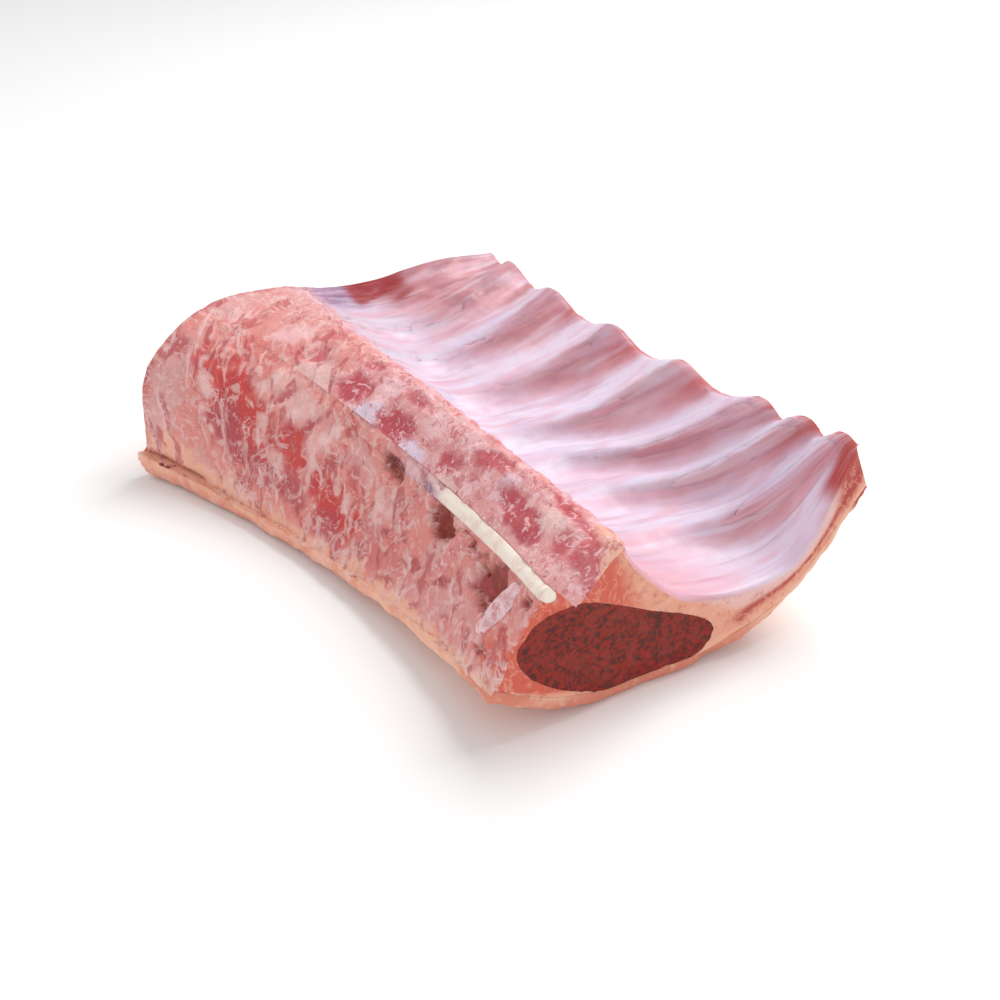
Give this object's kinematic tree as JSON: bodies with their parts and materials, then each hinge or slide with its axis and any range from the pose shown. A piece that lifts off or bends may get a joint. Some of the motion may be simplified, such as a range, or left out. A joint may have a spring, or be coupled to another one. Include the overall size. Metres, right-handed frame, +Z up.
{
  "type": "raw rack of lamb",
  "caption": "Uncooked rack of lamb lying on its fat side: fat cover, loin eye, sawn backbone with its cord, curved rib bones and the meat between them.",
  "frame": {"origin": "on the table, under the middle of the rack", "axes": "+X along the spine towards the loin end, +Y from the sawn spine to the rib tips, +Z up, with the fat side down"},
  "size_m": [0.204, 0.162, 0.061],
  "materials": {
    "fat": "soft cream-peach raw fat, lightly moist; rubber stands in for soft tissue",
    "sawn_bone": "fresh sawn bone, pale rims round red marrow, matt and moist",
    "cord": "smooth cream-white cord, moist; rubber stands in for soft tissue",
    "rib": "bone under a thin shining lavender-white membrane",
    "lean": "dark red lean meat, fine grain, moist; rubber stands in for soft tissue",
    "meat": "pink to red raw meat with whitish marbling, moist; rubber stands in for soft tissue"
  },
  "bodies": {
    "root": {"fat_cover": "fat", "backbone": "sawn_bone", "spinal_cord": "cord", "rib_bone_1": "rib", "rib_bone_2": "rib", "rib_bone_3": "rib", "rib_bone_4": "rib", "rib_bone_5": "rib", "rib_bone_6": "rib", "rib_bone_7": "rib", "loin_eye": "lean", "rack_meat": "meat"}
  },
  "joints": []
}
